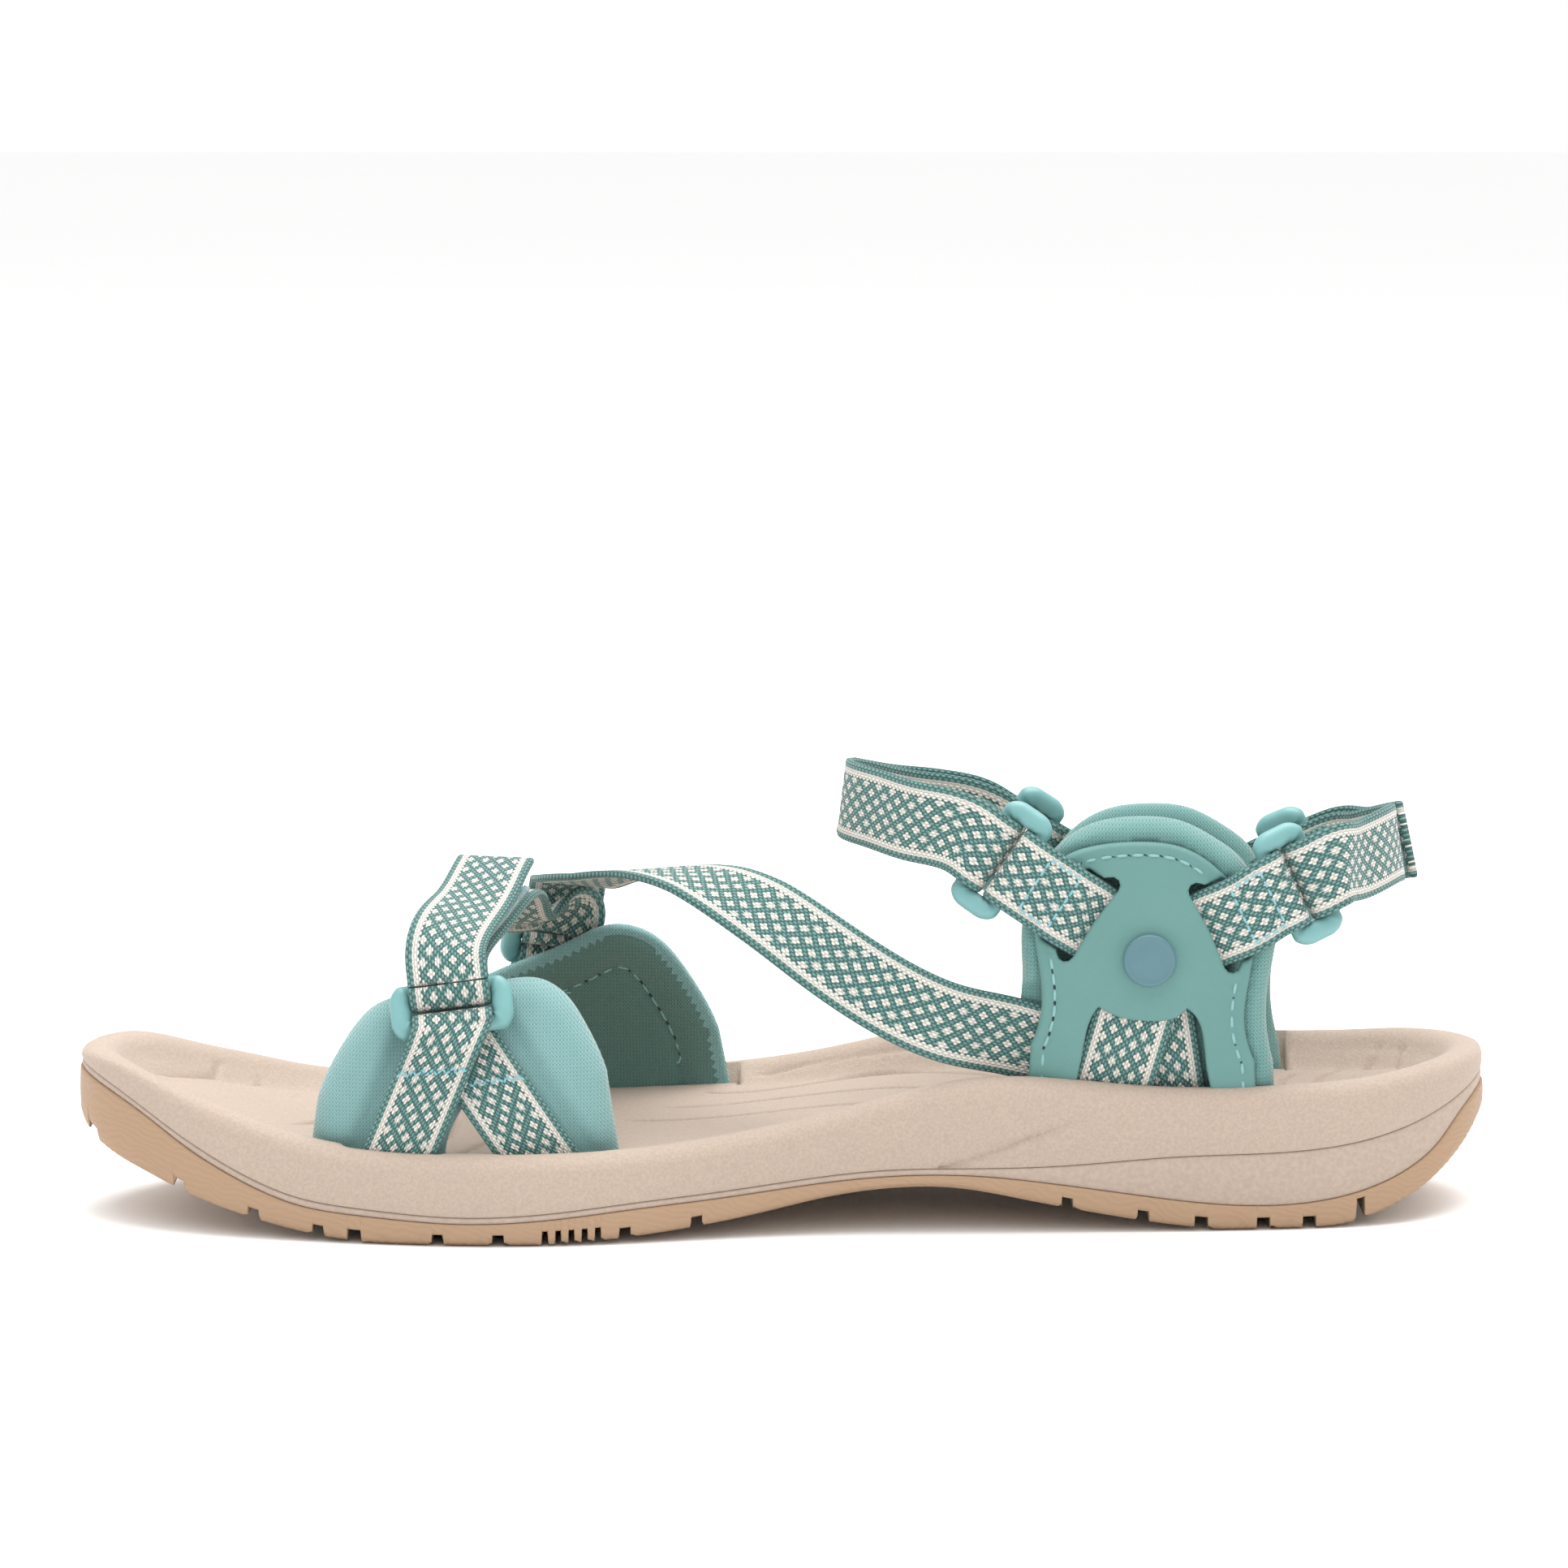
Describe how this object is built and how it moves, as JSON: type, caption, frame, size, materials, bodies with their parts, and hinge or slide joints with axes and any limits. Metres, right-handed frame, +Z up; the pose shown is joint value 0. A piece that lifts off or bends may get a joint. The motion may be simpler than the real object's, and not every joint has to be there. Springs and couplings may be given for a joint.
{
  "type": "strappy sport sandal",
  "caption": "Right-foot sport sandal: lugged sole, contoured footbed, padded side panels and woven straps joined by rings, with folding hook-and-loop ends at toe, ankle and heel.",
  "frame": {"origin": "centre of the bounding box in plan, on the ground", "axes": "+Z up, toe towards -X, heel towards +X, medial (inner) side towards -Y"},
  "size_m": [0.262, 0.0951, 0.083],
  "materials": {
    "gum_rubber": "matte",
    "eva_smooth": "satin",
    "eva_stippled": "matte stipple",
    "nylon_shank": "matte",
    "knit_pad": "knit",
    "knit_lining": "knit",
    "overlay_skin": "smooth satin",
    "rivet_washer": "satin",
    "rivet_cap": "satin",
    "ring_plastic": "satin",
    "hook_tape": "hook tape",
    "loop_tape": "loop tape",
    "webbing": "diamond jacquard"
  },
  "bodies": {
    "sandal": {"outsole": "gum_rubber", "midsole": "eva_smooth", "arch_shank": "nylon_shank", "footbed": "eva_stippled", "toe_pad_medial": "knit_pad", "toe_webbing_medial_front": "webbing", "toe_webbing_medial_rear": "webbing", "toe_pad_lateral": "knit_pad", "toe_webbing_lateral_front": "webbing", "toe_webbing_lateral_rear": "webbing", "instep_strap": "webbing", "toe_strap": "webbing", "toe_loop_patch": "loop_tape", "quarter_pad_medial": "knit_lining", "quarter_overlay_medial": "overlay_skin", "quarter_rivet_medial": "rivet_cap", "quarter_rivet_washer_medial": "rivet_washer", "quarter_webbing_medial_front": "webbing", "quarter_webbing_medial_rear": "webbing", "ankle_tab_medial": "webbing", "heel_tab_medial": "webbing", "quarter_pad_lateral": "knit_lining", "quarter_overlay_lateral": "overlay_skin", "quarter_rivet_lateral": "rivet_cap", "quarter_rivet_washer_lateral": "rivet_washer", "quarter_webbing_lateral_front": "webbing", "quarter_webbing_lateral_rear": "webbing", "ankle_tab_lateral": "webbing", "heel_tab_lateral": "webbing", "ankle_strap": "webbing", "ankle_loop_patch": "loop_tape", "heel_strap": "webbing", "heel_loop_patch": "loop_tape"},
    "toe_ring_medial": {"toe_ring_medial": "ring_plastic"},
    "toe_ring_lateral": {"toe_ring_lateral": "ring_plastic"},
    "ankle_ring_medial": {"ankle_ring_medial": "ring_plastic"},
    "ankle_ring_lateral": {"ankle_ring_lateral": "ring_plastic"},
    "heel_ring_medial": {"heel_ring_medial": "ring_plastic"},
    "heel_ring_lateral": {"heel_ring_lateral": "ring_plastic"},
    "toe_tail": {"toe_strap_tail": "webbing", "toe_hook_patch": "hook_tape"},
    "ankle_tail": {"ankle_strap_tail": "webbing", "ankle_hook_patch": "hook_tape"},
    "heel_tail": {"heel_strap_tail": "webbing", "heel_hook_patch": "hook_tape"}
  },
  "joints": [
    {"name": "toe_ring_medial_rock", "type": "hinge", "parent": "sandal", "child": "toe_ring_medial", "pos_m": [-0.06016, -0.0395, 0.03896], "axis": [0.9924, 0.0187, 0.1218], "range_deg": [-5, 5]},
    {"name": "toe_ring_lateral_rock", "type": "hinge", "parent": "sandal", "child": "toe_ring_lateral", "pos_m": [-0.04411, 0.04047, 0.03815], "axis": [-0.9858, -0.0953, 0.1385], "range_deg": [-5, 5]},
    {"name": "ankle_ring_medial_rock", "type": "hinge", "parent": "sandal", "child": "ankle_ring_medial", "pos_m": [0.04287, -0.02825, 0.06595], "axis": [0.5586, 0.0454, 0.8282], "range_deg": [-5, 5]},
    {"name": "ankle_ring_lateral_rock", "type": "hinge", "parent": "sandal", "child": "ankle_ring_lateral", "pos_m": [0.04737, 0.02974, 0.06091], "axis": [-0.5592, 0.0096, -0.829], "range_deg": [-5, 5]},
    {"name": "heel_ring_medial_rock", "type": "hinge", "parent": "sandal", "child": "heel_ring_medial", "pos_m": [0.09095, -0.02851, 0.06214], "axis": [0.4221, -0.0472, -0.9053], "range_deg": [-5, 5]},
    {"name": "heel_ring_lateral_rock", "type": "hinge", "parent": "sandal", "child": "heel_ring_lateral", "pos_m": [0.09535, 0.02964, 0.05719], "axis": [-0.4226, -0.0052, 0.9063], "range_deg": [-5, 5]},
    {"name": "toe_tail_peel", "type": "hinge", "parent": "sandal", "child": "toe_tail", "pos_m": [-0.06116, -0.03981, 0.04716], "axis": [0.9924, 0.0187, 0.1218], "range_deg": [0, 150]},
    {"name": "ankle_tail_peel", "type": "hinge", "parent": "sandal", "child": "ankle_tail", "pos_m": [0.04067, 0.03145, 0.06545], "axis": [-0.5592, 0.0096, -0.829], "range_deg": [0, 150]},
    {"name": "heel_tail_peel", "type": "hinge", "parent": "sandal", "child": "heel_tail", "pos_m": [0.10269, 0.03134, 0.06062], "axis": [-0.4226, -0.0052, 0.9063], "range_deg": [0, 150]}
  ]
}
